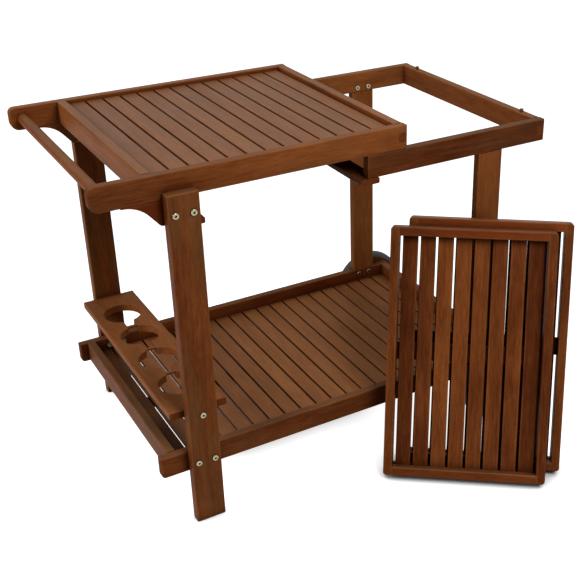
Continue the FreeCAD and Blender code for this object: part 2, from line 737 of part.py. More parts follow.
def bottle_board():
    """Board with a row of bottle holes joined by narrow slots, each crossed by a thin bridge."""
    name = "bottle_board"
    board = stock(name + "_board", "y", "rack_width", "rack_thickness", "width",
                  ("left_leg_middle", "0", "rack_middle"))
    bottom = "rack_height - rack_thickness"
    count = round(value("bottle_count"))
    holes = []
    for number in range(count):
        y = "bottle_pitch * (%d - (bottle_count - 1) / 2)" % number
        holes.append(rod(name + "_hole%d" % number, "z", "bottle_diameter", ("left_leg_middle", y, bottom),
                         "rack_thickness"))
    reach = "bottle_pitch * (bottle_count - 1) / 2"
    neck_left = "left_leg_middle - bottle_neck_width / 2"
    neck_right = "left_leg_middle + bottle_neck_width / 2"
    slot = box(name + "_slot", (neck_left, "-(" + reach + ")", bottom), (neck_right, reach, "rack_height"))
    bridges = []
    for number in range(count - 1):
        y = "bottle_pitch * (%d - (bottle_count - 2) / 2) - bottle_bridge_offset" % number
        low = (neck_left, y + " - bottle_bridge_width / 2", "rack_height - bottle_bridge_thickness")
        high = (neck_right, y + " + bottle_bridge_width / 2", "rack_height")
        bridges.append(box(name + "_bridge%d" % number, low, high))
    holes.append(cut(name + "_necks", slot, bridges))
    opened = cut(name + "_opened", board, holes)
    middle = value("left_leg_middle")
    half_neck = value("bottle_neck_width") / 2
    upright = value("rack_thickness") - 0.01

    def neck_edge(edge):
        beside = abs(abs(edge.CenterOfMass.x - middle) - half_neck) < 0.01
        return beside and edge.BoundBox.ZLength > upright and edge.BoundBox.YLength < 0.01

    eased = rounded_edges(name + "_eased", opened, "bottle_neck_rounding", neck_edge)
    tools = []
    for side in SIDES:
        tools.append(rod_across(name + "_bolt_" + side, side, "bolt_diameter + 2 * joint_clearance",
                                "left_leg_middle", "barrel_place - barrel_diameter / 2", "half_width",
                                "rack_middle"))
        tools.append(rod(name + "_barrel_" + side, "z", "barrel_diameter + 2 * joint_clearance",
                         ("left_leg_middle", signed(side, "barrel_place"), bottom),
                         "barrel_length + joint_clearance"))
        for number, x in enumerate(RACK_DOWEL_PLACES):
            tools.append(rack_dowel_hole(name + "_dowel_%s%d" % (side, number), side, x))
    node(cut(name, eased, tools), name)


# Axle and wheels

def axle():
    half = "wheel_outside + side_play + cap_length - cap_end"
    node(rod("axle", "y", "axle_diameter", ("axle_place", "-(" + half + ")", "axle_height"),
             "2 * (" + half + ")"), "axle")


def axle_block(side):
    """Block under a shelf rail that carries the axle."""
    name = "axle_block_" + side
    board = stock(name + "_board", "x", "rail_thickness", "shelf_underside - block_underside", "block_length",
                  ("axle_place - block_length / 2", signed(side, "rail_middle"),
                   "(shelf_underside + block_underside) / 2"))
    tools = [rod_across(name + "_axle_hole", side, "axle_diameter + 2 * joint_clearance", "axle_place",
                        "inner_half", "half_width", "axle_height")]
    for number, x in enumerate(BLOCK_SCREW_PLACES):
        tools.append(block_screw_hole(name + "_screw%d" % number, x, side))
    node(cut(name, board, tools), name)


def ring(name, side, outer, bore, inside, outside):
    """Round piece on the axle's line with a bore through it."""
    blank = rod_across(name + "_blank", side, outer, "axle_place", inside, outside, "axle_height")
    hole = rod_across(name + "_bore", side, bore, "axle_place", inside, outside, "axle_height")
    return cut(name, blank, [hole])


def wheel(side):
    """Wooden disc with a rubber tyre round it and a bush that turns on the axle."""
    running_bore = "axle_diameter + 2 * running_clearance"
    seat = "bush_diameter + 2 * joint_clearance"
    half_disc = "disc_thickness / 2"
    node(ring("wheel_disc_" + side, side, "2 * disc_radius", seat, "wheel_middle - " + half_disc,
              "wheel_middle + " + half_disc), "wheel_disc_" + side)
    tyre = ring("tyre_ring_" + side, side, "wheel_diameter", "2 * (disc_radius + joint_clearance)",
                "wheel_inside", "wheel_outside")
    rim = value("wheel_diameter")
    node(rounded_edges("tyre_" + side, tyre, "tyre_rounding",
                       lambda edge: edge.BoundBox.XLength > rim - 0.01 and edge.BoundBox.YLength < 0.01),
         "tyre_" + side)
    node(ring("wheel_bush_" + side, side, "bush_diameter", running_bore, "wheel_inside", "wheel_outside"),
         "wheel_bush_" + side)


def both_sides(name, make):
    """One sub-part of two equal pieces, one on each side."""
    group = doc.addObject("Part::Compound", name)
    group.Links = [make(name + "_" + side, side) for side in SIDES]
    node(group, name)


def washer(name, side):
    return ring(name, side, "washer_diameter", "axle_diameter + 2 * joint_clearance", "half_width",
                "wheel_inside - side_play")


def axle_cap(name, side):
    """Cup pressed on an axle end to keep the wheel on."""
    inside = "wheel_outside + side_play"
    cup = rod_across(name + "_cup", side, "cap_diameter", "axle_place", inside, inside + " + cap_length",
                     "axle_height")
    outer_rim = value("cap_diameter") - 0.01
    far_out = value(inside) + 0.01

    def outer_edge(edge):
        round_the_rim = edge.BoundBox.XLength > outer_rim and edge.BoundBox.YLength < 0.01
        return round_the_rim and abs(edge.CenterOfMass.y) > far_out

    eased = rounded_edges(name + "_eased", cup, "cap_rounding", outer_edge)
    socket = rod_across(name + "_socket", side, "axle_diameter + 2 * joint_clearance", "axle_place", inside,
                        inside + " + cap_length - cap_end", "axle_height")
    return cut(name, eased, [socket])


# Fasteners: one pattern piece of each kind, standing on the floor, and copies of it where they belong

def headed_pin(name, head_diameter, head_height, shank_diameter, shank_length):
    """Head above the floor, shank below it."""
    head = rod(name + "_head", "z", head_diameter, ("0", "0", "0"), head_height)
    shank = rod(name + "_shank", "z", shank_diameter, ("0", "0", "-(" + shank_length + ")"), shank_length)
    return fuse(name, [head, shank])


def socket_bolt(name, length):
    """Round headed bolt with a six-sided socket."""
    pin = headed_pin(name + "_blank", "bolt_head_diameter", "bolt_head_height", "bolt_diameter", length)
    eased = rounded_edges(name + "_eased", pin, "slat_rounding",
                          lambda edge: edge.BoundBox.ZMin > value("bolt_head_height") - 0.01)
    socket = doc.addObject("Part::Prism", name + "_socket")
    socket.Polygon = 6
    socket.setExpression("Circumradius", formula("bolt_socket_width / 2"))
    socket.setExpression("Height", formula("bolt_socket_depth"))
    place(socket, "0", "0", "bolt_head_height - bolt_socket_depth")
    return cut(name, eased, [socket])


OUTWARD = {
    "near": FreeCAD.Rotation(FreeCAD.Vector(1, 0, 0), 90),
    "far": FreeCAD.Rotation(FreeCAD.Vector(1, 0, 0), -90),
}
INWARD = {"near": OUTWARD["far"], "far": OUTWARD["near"]}
UPRIGHT = FreeCAD.Rotation()
HEAD_DOWN = FreeCAD.Rotation(FreeCAD.Vector(1, 0, 0), 180)


def copies(label, pattern, spots):
    """A sub-part made of copies of one fastener, each at a spot (three formulas) with its own turn."""
    doc.recompute()
    shapes = []
    for spot, turn in spots:
        shape = pattern.Shape.copy()
        set_down = FreeCAD.Placement(FreeCAD.Vector(*[value(text) for text in spot]), turn)
        shape.Placement = set_down.multiply(pattern.Placement)
        shapes.append(shape)
    group = doc.addObject("Part::Feature", label)
    group.Shape = Part.makeCompound(shapes)
    group.Placement = FreeCAD.Placement()
    node(group, label)


def leg_fasteners():
    """Bolts and sleeve nuts of the left legs, bolts and cross nuts of the bottle board."""
    bolt = socket_bolt("leg_bolt", "left_leg_thickness + rail_thickness - leg_bolt_end_gap")
    long_bolt = socket_bolt("rack_bolt", "rack_bolt_length")
    nut = headed_pin("sleeve_nut_blank", "bolt_head_diameter", "bolt_head_height", "nut_sleeve_diameter",
                     "nut_sleeve_length")
    depth = "nut_sleeve_length"
    bore = rod("sleeve_nut_bore", "z", "bolt_diameter + 2 * joint_clearance", ("0", "0", "-" + depth), depth)
    sleeve_nut = cut("sleeve_nut", nut, [bore])
    barrel = rod("barrel_blank", "z", "barrel_diameter", ("0", "0", "0"), "barrel_length")
    barrel_bore = rod("barrel_bore", "y", "bolt_diameter + 2 * joint_clearance",
                      ("0", "-barrel_diameter", "rack_thickness / 2"), "2 * barrel_diameter")
    barrel_nut = cut("barrel_nut", barrel, [barrel_bore])
    bolt_spots = []
    nut_spots = []
    for side in SIDES:
        for x in LEG_BOLT_PLACES:
            for level in ("frame_middle", "shelf_bolt_level"):
                bolt_spots.append(((x, signed(side, "left_leg_face"), level), OUTWARD[side]))
                nut_spots.append(((x, signed(side, "inner_half"), level), INWARD[side]))
    copies("leg_bolts", bolt, bolt_spots)
    copies("leg_bolt_nuts", sleeve_nut, nut_spots)
    copies("rack_bolts", long_bolt,
           [(("left_leg_middle", signed(side, "left_leg_face"), "rack_middle"), OUTWARD[side])
            for side in SIDES])
    copies("rack_barrel_nuts", barrel_nut,
           [(("left_leg_middle", signed(side, "barrel_place"), "rack_height - rack_thickness"), UPRIGHT)
            for side in SIDES])


def right_leg_bolts():
    bolt = socket_bolt("right_leg_bolt", "right_bolt_length")
    spots = []
    for side in SIDES:
        for x in RIGHT_BOLT_PLACES:
            for level in ("frame_leg_bolt_level", "shelf_leg_bolt_level"):
                spots.append(((x, signed(side, "inner_half"), level), INWARD[side]))
    copies("right_leg_bolts", bolt, spots)


def dowels():
    """Wooden dowels between the top and what carries it, and between the bottle board and the legs."""
    dowel = rod("dowel", "z", "dowel_diameter", ("0", "0", "-dowel_length / 2"), "dowel_length")
    spots = []
    for side in SIDES:
        for x in BRACKET_DOWEL_PLACES + FRAME_DOWEL_PLACES:
            spots.append(((x, signed(side, "rail_middle"), "top_underside"), UPRIGHT))
        for x in RACK_DOWEL_PLACES:
            spots.append(((x, signed(side, "half_width"), "rack_middle"), OUTWARD[side]))
    copies("dowels", dowel, spots)


def screws(label, length, level, places):
    """Screws driven upward, their heads sunk above the given level."""
    screw = headed_pin(label + "_piece", "screw_head_diameter", "screw_head_height", "screw_diameter",
                       length + " - screw_head_height")
    head_seat = level + " + screw_head_height"
    copies(label, screw, [((x, signed(side, "rail_middle"), head_seat), HEAD_DOWN)
                          for side in SIDES for x in places])


# Loose trays, built upright in their own frame: X across, Y from the open face to the back, Z up

def corner_loss(angle):
    """How much closer than a sharp edge a rounded edge comes to a face at this angle."""
    return value("edge_rounding") * (math.cos(angle) + math.sin(abs(angle)) - 1)


def standing_tray(x, y, turn, lean):
    """A tray on its back lower edge, whose left end is at this place on the floor."""
    rotation = FreeCAD.Rotation(FreeCAD.Vector(0, 0, 1), -turn)
    rotation = rotation.multiply(FreeCAD.Rotation(FreeCAD.Vector(1, 0, 0), -lean))
    foot = rotation.multVec(FreeCAD.Vector(0, value("tray_depth"), 0))
    drop = corner_loss(math.radians(lean))
    return FreeCAD.Placement(FreeCAD.Vector(x, y, -drop) - foot, rotation)


def back_tray_foot():
    """Floor place of the tray that leans on the right leg, a little clear of the shelf rail."""
    slope = math.radians(value("tray_lean"))
    heading = math.radians(-value("tray_turn"))
    height = value("shelf_height") + corner_loss(slope)
    y = -value("half_width + contact_gap + tray_ease") - math.tan(slope) * height * math.cos(heading)
    y += corner_loss(heading) + corner_loss(math.atan(math.tan(slope) * math.cos(heading)))
    reach = value("tray_length") * math.sin(slope) + value("contact_gap")
    reach -= corner_loss(slope) + corner_loss(heading)
    x = value("right_leg_edge")
    x += (reach + (value("half_width") + y) * math.cos(heading)) / math.sin(heading)
    return x, y


LEAN_STEPS = 8


def front_tray_pose(x, y, back, frame):
    """Where the front tray stands: moved back from clear of the other tray until the two all but touch."""
    along = back.Rotation.multVec(FreeCAD.Vector(1, 0, 0))
    outward = back.Rotation.multVec(FreeCAD.Vector(0, -1, 0))
    away = FreeCAD.Vector(along.y, -along.x, 0)
    shift = value("tray_shift")
    pose = standing_tray(x - shift * along.x, y - shift * along.y, value("tray_turn - tray_twist"),
                         value("tray_lean + tray_tilt"))
    depths = []
    for across in (0, value("tray_width")):
        for up in (0, value("tray_length")):
            corner = pose.multVec(FreeCAD.Vector(across, value("tray_depth"), up))
            depths.append((corner - back.Base).dot(outward))
    pose.Base = pose.Base + away * ((value("contact_gap") - min(depths)) / away.dot(outward))
    still = frame.Shape.copy()
    still.Placement = back
    for step in range(LEAN_STEPS):
        moved = frame.Shape.copy()
        moved.Placement = pose
        pose.Base = pose.Base - away * (moved.distToShape(still)[0] - value("contact_gap"))
    return pose


def posed(label, piece, pose):
    """The piece set down with the rest of its tray."""
    group = doc.addObject("Part::Compound", label)
    group.Links = [piece]
    group.Placement = pose
    node(group, label)


def along_depth(edge):
    return edge.BoundBox.YLength > edge.BoundBox.XLength + edge.BoundBox.ZLength


def in_a_face(edge):
    return edge.BoundBox.YLength < edge.BoundBox.XLength + edge.BoundBox.ZLength


def tray_frame():
    """The four rails of a tray in one, rounded all round, before they are parted at the joints."""
    blank = box("tray_blank", ("0", "0", "0"), ("tray_width", "tray_depth", "tray_length"))
    outline = rounded_edges("tray_outline", blank, "tray_corner", along_depth)
    inside = box("tray_inside", ("tray_rail", "0", "tray_rail"),
                 ("tray_width - tray_rail", "tray_depth", "tray_length - tray_rail"))
    return rounded_edges("tray_frame", cut("tray_open", outline, [inside]), "edge_rounding", in_a_face)


def tray_tongue(name, left, bottom):
    """Finger of a tray's end rail through a long rail."""
    middle = "tray_depth / 2"
    return box(name, (left, middle + " - finger_height / 2", bottom),
               (left + " + tray_rail", middle + " + finger_height / 2", bottom + " + tray_rail"))


def common(name, base, tool):
    """What the base and the tool share."""
    result = doc.addObject("Part::Common", name)
    result.Base = base
    result.Tool = tool
    return result


TRAY_SIDES = {"left": "0", "right": "tray_width - tray_rail"}
TRAY_ENDS = {"bottom": "0", "top": "tray_length - tray_rail"}


def tray(name, frame, pose):
    for side, left in TRAY_SIDES.items():
        label = name + "_side_" + side
        region = box(label + "_region", (left, "0", "0"),
                     (left + " + tray_rail", "tray_depth", "tray_length"))
        notches = [tray_tongue(label + "_notch_" + end, left, bottom) for end, bottom in TRAY_ENDS.items()]
        posed(label, common(label + "_rail", frame, cut(label + "_cut", region, notches)), pose)
    for end, bottom in TRAY_ENDS.items():
        label = name + "_end_" + end
        region = box(label + "_region", ("tray_rail", "0", bottom),
                     ("tray_rail + tray_field", "tray_depth", bottom + " + tray_rail"))
        tongues = [tray_tongue(label + "_tongue_" + side, left, bottom) for side, left in TRAY_SIDES.items()]
        rail = common(label + "_rail", frame, fuse(label + "_blank", [region] + tongues))
        groove_start = bottom + (" + tray_rail - tray_groove" if end == "bottom" else "")
        groove_back = "tray_recess + slat_thickness"
        groove = box(label + "_groove", ("tray_rail", "tray_recess", groove_start),
                     ("tray_rail + tray_field", groove_back, groove_start + " + tray_groove"))
        posed(label, cut(label + "_cut", rail, [groove]), pose)
    label = name + "_slats"
    ends = "tray_rail - tray_groove"
    first = "tray_rail + tray_slat_gap + tray_slat_width / 2"
    length = "tray_length - 2 * (" + ends + ")"
    board = stock(label + "_row", "z", "tray_slat_width", "slat_thickness", length,
                  (first, "tray_recess + slat_thickness / 2", ends), "slat_rounding")
    posed(label, row_of(board, "X_Axis", "tray_slat_count", "tray_slat_width + tray_slat_gap"), pose)
    label = name + "_batten"
    middle = "tray_recess + slat_thickness + tray_batten_thickness / 2"
    board = stock(label + "_board", "x", "tray_batten_thickness", "batten_width", "tray_field",
                  ("tray_rail", middle, "tray_length / 2"), "slat_rounding")
    posed(label, board, pose)


# The whole trolley

for side_name in SIDES:
    top_rail(side_name)
    handle_bracket(side_name)
    frame_rail(side_name)
    left_leg(side_name)
    right_leg(side_name)
    shelf_rail(side_name)
    axle_block(side_name)
    wheel(side_name)
end_rail("top_end_rail_left", "top_left", "top_rail_height", "top_middle", stub, "top_left")
end_rail("top_end_rail_right", "top_right - rail_thickness", "top_rail_height", "top_middle", finger,
         "top_right")
end_rail("shelf_end_rail_left", "shelf_left + shelf_horn", "shelf_rail_height", "shelf_middle", stub,
         "shelf_left + shelf_horn")
end_rail("shelf_end_rail_right", "shelf_right - rail_thickness", "shelf_rail_height", "shelf_middle", finger,
         "shelf_right")
frame_end_rail()
frame_pegs()
handle_bar()
slats("top_slats", "top_slat_count", "top_slat_gap", "top_field_start + top_slat_gap", "top_deck")
slats("shelf_slats", "shelf_slat_count", "shelf_slat_gap", "shelf_field_start", "shelf_deck")
cleats("top_cleats", "top_field_start", "top_field", "top_deck")
cleats("shelf_cleats", "shelf_field_start", "shelf_field", "shelf_deck")
batten("top_batten", "top_field_start", "top_field", "top_deck")
batten("shelf_batten", "shelf_field_start", "shelf_field", "shelf_deck")
crossbar("left_crossbar", "bracket_right + crossbar_overhang - crossbar_width", BRACKET_SCREW_PLACES)
crossbar("frame_crossbar", "frame_left - crossbar_overhang", FRAME_SCREW_PLACES)
bottle_board()
axle()
both_sides("axle_washers", washer)
both_sides("axle_caps", axle_cap)
leg_fasteners()
right_leg_bolts()
dowels()
screws("crossbar_screws", CROSSBAR_SCREW_LENGTH, "frame_underside - crossbar_thickness",
       BRACKET_SCREW_PLACES + FRAME_SCREW_PLACES)
screws("axle_block_screws", BLOCK_SCREW_LENGTH + " - block_screw_sink", "block_underside + block_screw_sink",
       BLOCK_SCREW_PLACES)
sanded_frame = tray_frame()
doc.recompute()
foot_x, foot_y = back_tray_foot()
back_pose = standing_tray(foot_x, foot_y, value("tray_turn"), value("tray_lean"))
tray("front_tray", sanded_frame, front_tray_pose(foot_x, foot_y, back_pose, sanded_frame))
tray("back_tray", sanded_frame, back_pose)

# Every object must have come out sound before the files are written

doc.recompute()
for item in doc.Objects:
    if "Invalid" in item.State or "Error" in item.State:
        raise RuntimeError(item.Name + " did not build")
os.makedirs("parts", exist_ok=True)
for piece in nodes:
    if piece.Shape.isNull() or not piece.Shape.isValid() or not piece.Shape.Solids:
        raise RuntimeError(piece.Label + " has no sound shape")
    piece.Shape.exportStep("parts/" + piece.Label + ".step")
print(len(nodes), "sub-parts written")
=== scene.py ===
import math

import bpy
from mathutils import Euler, Matrix, Vector


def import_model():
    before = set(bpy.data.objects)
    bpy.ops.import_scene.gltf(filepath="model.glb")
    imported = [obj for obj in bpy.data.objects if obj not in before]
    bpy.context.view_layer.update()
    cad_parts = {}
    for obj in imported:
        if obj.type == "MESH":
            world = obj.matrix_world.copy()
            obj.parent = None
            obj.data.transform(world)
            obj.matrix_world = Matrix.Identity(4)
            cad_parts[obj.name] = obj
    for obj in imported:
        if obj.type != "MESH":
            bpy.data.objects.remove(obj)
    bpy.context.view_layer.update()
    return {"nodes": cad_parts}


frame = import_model()
nodes = frame["nodes"]

# Named values, in metres and degrees

# The photo's camera, with its focal length and centre in photo pixels and its sensor in millimetres
PHOTO_SIDE = 584
FOCAL_PIXELS = 1024.28
CENTRE_PIXEL = (358.44, 277.24)
SENSOR_WIDTH = 36.0
CAMERA_PLACE = Vector((-0.98116, -2.00329, 1.48043))
CAMERA_AZIMUTH = -30.61
CAMERA_ELEVATION = 26.77
CAMERA_ROLL = -0.50

# How the loose trays stand
TRAY_TURNS = {"front": -37.3, "back": -38.0}
TRAY_LEANS = {"front": 18.4, "back": 18.2}

# Rows of slats: how many, how wide, how far their tones scatter and, where it differs, the tone of each,
# which for some slats is painted shade
TOP_SLATS = {"count": 13, "width": 0.036, "variety": 0.10}
# The three shelf slats under the bottle board are darker as painted shade; the rest step paler to the right,
# and the last four are darker again
SHELF_SLAT_TONES_AND_SHADE = (0.00,) * 3 + (0.09,) * 5 + (0.21,) * 4 + (0.33,) * 5 + (0.17,) * 4
SHELF_SLATS = {"count": 21, "width": 0.036, "variety": 0.09, "tones": SHELF_SLAT_TONES_AND_SHADE}
# The last tray slat, beside the right side rail, is darker as a painted shadow of that rail
TRAY_SLAT_TONES_AND_SHADE = (-0.19, -0.16, 0.00, -0.08, -0.08, -0.09, -0.13, -0.27)
TRAY_SLATS = {"count": 8, "width": 0.034, "variety": 0.03, "tones": TRAY_SLAT_TONES_AND_SHADE}
# The pitch of a piece that is one board, wider than any board
ONE_BOARD = 10.0

# How much paler or darker a piece is than the middle tone of the wood; the dark values of the frame crossbar
# and the near handle bracket are mostly painted shade
TONES_AND_SHADE = {
    "top_rail_far": 0.09, "top_end_rail_left": 0.11, "top_end_rail_right": 0.14, "top_slats": 0.09,
    "handle_bracket_near": -0.38, "frame_rail_near": -0.25, "frame_rail_far": 0.14, "frame_end_rail": 0.07,
    "left_leg_near": -0.07, "left_leg_far": -0.04, "right_leg_near": 0.07, "right_leg_far": 0.15,
    "shelf_rail_near": -0.11, "shelf_rail_far": -0.14, "shelf_end_rail_left": -0.12,
    "bottle_board": 0.12, "frame_crossbar": -0.35, "front_tray_side_left": -0.10,
    "front_tray_side_right": -0.17, "front_tray_end_top": -0.20, "front_tray_end_bottom": -0.14,
    "back_tray_side_right": -0.09,
}
# How the tone changes along a piece, per metre: the far left leg darkens towards its top as painted shade
# under the table top, and the near top rail darkens towards its left end
TONE_AND_SHADE_DRIFTS = {"top_rail_near": 0.20, "left_leg_far": -0.30}

# How far a piece has gone olive and grey in patches
USUAL_WEATHER = 0.20
TRAY_WEATHER = 0.06
WEATHER = {
    "left_leg_near": 0.50, "left_leg_far": 0.35, "shelf_end_rail_left": 0.50, "frame_rail_near": 0.22,
}

# How much red stain shows on the redder pieces
STAIN = {
    "handle_bracket_near": 0.42, "top_rail_far": 0.20, "front_tray_end_top": 0.35,
    "front_tray_end_bottom": 0.15, "back_tray_end_top": 0.50, "shelf_rail_far": 0.30,
}

# How much the faces that look up shine, the rest being dull
DULL = 0.02
USUAL_POLISH = 0.04
POLISH = {
    "top_slats": 0.10, "shelf_slats": 0.05, "top_rail_far": 0.09, "top_end_rail_right": 0.08,
    "top_end_rail_left": 0.08, "bottle_board": 0.02, "frame_crossbar": 0.0, "left_crossbar": 0.0,
}
WARM_GLINT = (1.0, 0.95, 0.82, 1.0)


# Small helpers for node trees

def new_node(tree, kind, **settings):
    made = tree.nodes.new(kind)
    for name, setting in settings.items():
        setattr(made, name, setting)
    return made


def feed(tree, socket, source):
    """Links an output to an input, or writes a plain value on it."""
    if isinstance(source, bpy.types.NodeSocket):
        tree.links.new(source, socket)
    else:
        socket.default_value = source


def math_node(tree, operation, *sources):
    made = new_node(tree, "ShaderNodeMath", operation=operation)
    for number, source in enumerate(sources):
        feed(tree, made.inputs[number], source)
    return made.outputs[0]


def vector_math(tree, operation, *sources):
    made = new_node(tree, "ShaderNodeVectorMath", operation=operation)
    for number, source in enumerate(sources):
        feed(tree, made.inputs[number], source)
    return made.outputs[0]


def split(tree, vector):
    made = new_node(tree, "ShaderNodeSeparateXYZ")
    feed(tree, made.inputs[0], vector)
    return made.outputs


def combine(tree, x, y, z):
    made = new_node(tree, "ShaderNodeCombineXYZ")
    for socket, source in zip(made.inputs, (x, y, z)):
        feed(tree, socket, source)
    return made.outputs[0]


def noise(tree, vector, scale, detail, roughness=0.5):
    made = new_node(tree, "ShaderNodeTexNoise")
    feed(tree, made.inputs["Vector"], vector)
    made.inputs["Scale"].default_value = scale
    made.inputs["Detail"].default_value = detail
    made.inputs["Roughness"].default_value = roughness
    return made.outputs["Fac"]


def ramp(tree, source, stops):
    """A colour for each value, blended between the stops."""
    stops = list(stops)
    made = new_node(tree, "ShaderNodeValToRGB")
    feed(tree, made.inputs[0], source)
    band = made.color_ramp
    while len(band.elements) < len(stops):
        band.elements.new(0.5)
    for element, (place, colour) in zip(band.elements, stops):
        element.position = place
        element.color = (*colour, 1.0)
    return made.outputs[0]


def stepped(tree, source, levels):
    """Picks the level whose number the source gives."""
    made = new_node(tree, "ShaderNodeValToRGB")
    band = made.color_ramp
    band.interpolation = "CONSTANT"
    while len(band.elements) < len(levels):
        band.elements.new(0.5)
    for number, (element, level) in enumerate(zip(band.elements, levels)):
        element.position = number / len(levels)
        element.color = (level, level, level, 1.0)
    feed(tree, made.inputs[0], math_node(tree, "DIVIDE", math_node(tree, "ADD", source, 0.5), len(levels)))
    return made.outputs[0]


def between(tree, source, low, high, start=0.0, end=1.0):
    """Smoothly maps a value from one range to another."""
    made = new_node(tree, "ShaderNodeMapRange", interpolation_type="SMOOTHSTEP")
    for name, setting in (("Value", source), ("From Min", low), ("From Max", high), ("To Min", start),
                          ("To Max", end)):
        feed(tree, made.inputs[name], setting)
    return made.outputs[0]


def mix_colour(tree, share, first, second):
    made = new_node(tree, "ShaderNodeMix", data_type="RGBA")
    feed(tree, made.inputs["Factor"], share)
    feed(tree, made.inputs["A"], first)
    feed(tree, made.inputs["B"], second)
    return made.outputs["Result"]


def tint(tree, share, colour, paint):
    """Mixes a plain colour into another."""
    return mix_colour(tree, share, colour, (*paint, 1.0))


def openness(tree, reach, samples):
    """1 on open faces, less in corners and gaps that have other faces within reach."""
    made = new_node(tree, "ShaderNodeAmbientOcclusion", samples=samples)
    made.inputs["Distance"].default_value = reach
    return made.outputs["AO"]


def new_material(name):
    material = bpy.data.materials.new(name)
    material.use_nodes = True
    tree = material.node_tree
    return material, tree, tree.nodes["Principled BSDF"]


def object_place(tree):
    return new_node(tree, "ShaderNodeTexCoord").outputs["Object"]


def bump(tree, shader, height, distance, strength):
    made = new_node(tree, "ShaderNodeBump")
    made.inputs["Distance"].default_value = distance
    made.inputs["Strength"].default_value = strength
    feed(tree, made.inputs["Height"], height)
    feed(tree, shader.inputs["Normal"], made.outputs[0])


# Where most values of a noise lie
USUAL_NOISE = (0.3, 0.7)


# Oiled hardwood with the grain along a board's X

DARK_FIBRE = (0.048, 0.0098, 0.0028)
DEEP_BROWN = (0.094, 0.0230, 0.0055)
RED_BROWN = (0.150, 0.0408, 0.0096)
WARM_BROWN = (0.205, 0.0620, 0.0155)
PALE_WOOD = (0.275, 0.0920, 0.0265)
# The pale grey-brown of the painted sheen on faces that look up
PAINTED_SHEEN_WOOD = (0.40, 0.28, 0.14)
WEATHERED = (0.125, 0.0580, 0.0200)
RED_STAIN = (0.150, 0.0260, 0.0060)
# The dark red of the painted shade in corners and gaps
PAINTED_SHADE_RED = (0.036, 0.0066, 0.0016)
WOOD_STOPS = ((0.14, DARK_FIBRE), (0.33, DEEP_BROWN), (0.50, RED_BROWN), (0.67, WARM_BROWN),
              (0.86, PALE_WOOD))
END_STOPS = ((0.3, DARK_FIBRE), (0.5, DEEP_BROWN), (0.7, RED_BROWN))

# Layers of the grain: waves per metre along and across it, then the octaves and roughness of the noise
LAYERS = {
    "bend": (2.2, 9.0, 2.0, 0.50), "figure": (1.6, 34.0, 3.0, 0.55), "streak": (4.0, 150.0, 4.0, 0.60),
    "fleck": (28.0, 205.0, 3.0, 0.65), "fibre": (22.0, 620.0, 3.0, 0.60), "pore": (70.0, 1500.0, 1.0, 0.50),
    "blotch": (7.0, 16.0, 3.0, 0.55), "patch": (5.0, 22.0, 3.0, 0.60), "speck": (200.0, 700.0, 2.0, 0.50),
}
TONE_SHARES = {"figure": 0.20, "streak": 0.15, "fleck": 0.26, "fibre": 0.14, "blotch": 0.25}
GRAIN_CONTRAST = 1.60
GRAIN_BEND = 0.035
GRAIN_SHIFT = 3.0
PATCH_NOISE = (0.40, 0.66)
PORE_NOISE = (0.62, 0.74)
PORE_DARKNESS = 0.35

# Edges rubbed paler between these distances, all of it in some blotches and less in others
EDGE_WIDTH = (0.0005, 0.0045)
EDGE_WEAR = 0.35
EDGE_BLOTCHES = (0.35, 0.65)
LEAST_RUBBED = 0.25

# How much of the dark colour of a cut end shows, and how much where it looks up
END_SHARE = 0.9
END_SHARE_ABOVE = 0.4
END_SHARPNESS = 6.0
LOOKS_UP = (0.5, 0.95)

# Painted sheen on polished faces that look up, and painted shade in corners by how open they are
PAINTED_SHEEN_PER_POLISH = 2.5
MOST_PAINTED_SHEEN = 0.10
CORNER_REACH = 0.03
CORNER_OPENNESS = (0.25, 0.95)
# How much painted shade the tightest corners get
CORNER_PAINTED_SHADE = 0.85

# Roughness and fine relief of the wood
SHEEN_UPWARD = (0.4, 0.95)
WOOD_ROUGHNESS = (0.40, 0.52)
END_ROUGHNESS = 0.15
FIBRE_RELIEF = 0.7
PORE_RELIEF = 0.5
RELIEF_DEPTH = 0.0006
RELIEF_STRENGTH = 0.5

TIMBER_INPUTS = {
    "Position": "Vector", "Facing": "Vector", "Half size": "Vector", "Upward": "Float", "Pitch": "Float",
    "Seed": "Float", "Tone": "Float", "Drift": "Float", "Variety": "Float", "Polish": "Float",
    "Weather": "Float", "Stain": "Float",
}
TIMBER_OUTPUTS = {"Color": "Color", "Roughness": "Float", "Sheen": "Float", "Height": "Float"}


def layer(tree, name, grain):
    """Noise that is drawn out along the grain."""
    along, across, octaves, roughness = LAYERS[name]
    stretched = vector_math(tree, "MULTIPLY", grain, (along, across, across))
    return noise(tree, stretched, 1.0, octaves, roughness)


def place_on_board(tree, given):
    """The place on the one board of a row that the point lies on, and chance values for that board."""
    x, y, z = split(tree, given["Position"])
    pitch = given["Pitch"]
    from_edge = math_node(tree, "ADD", y, math_node(tree, "MULTIPLY", pitch, 0.5))
    index = math_node(tree, "FLOOR", math_node(tree, "DIVIDE", from_edge, pitch))
    y_board = math_node(tree, "SUBTRACT", y, math_node(tree, "MULTIPLY", index, pitch))
    chance = new_node(tree, "ShaderNodeTexWhiteNoise", noise_dimensions="2D")
    feed(tree, chance.inputs["Vector"], combine(tree, index, given["Seed"], 0.0))
    return (x, y_board, z), chance.outputs


def grain_layers(tree, place, chance):
    """Figure, streaks, flecks, fibres and pores along a slightly bent grain, patches along a straight one."""
    shift = vector_math(tree, "MULTIPLY", chance["Color"], (GRAIN_SHIFT, GRAIN_SHIFT, GRAIN_SHIFT))
    grain = vector_math(tree, "ADD", combine(tree, *place), shift)
    aside = math_node(tree, "MULTIPLY", layer(tree, "bend", grain), GRAIN_BEND)
    bent = vector_math(tree, "ADD", grain, combine(tree, 0.0, aside, 0.0))
    layers = {name: layer(tree, name, bent) for name in ("figure", "streak", "fleck", "fibre", "pore")}
    layers.update({name: layer(tree, name, grain) for name in ("blotch", "patch", "speck")})
    return layers


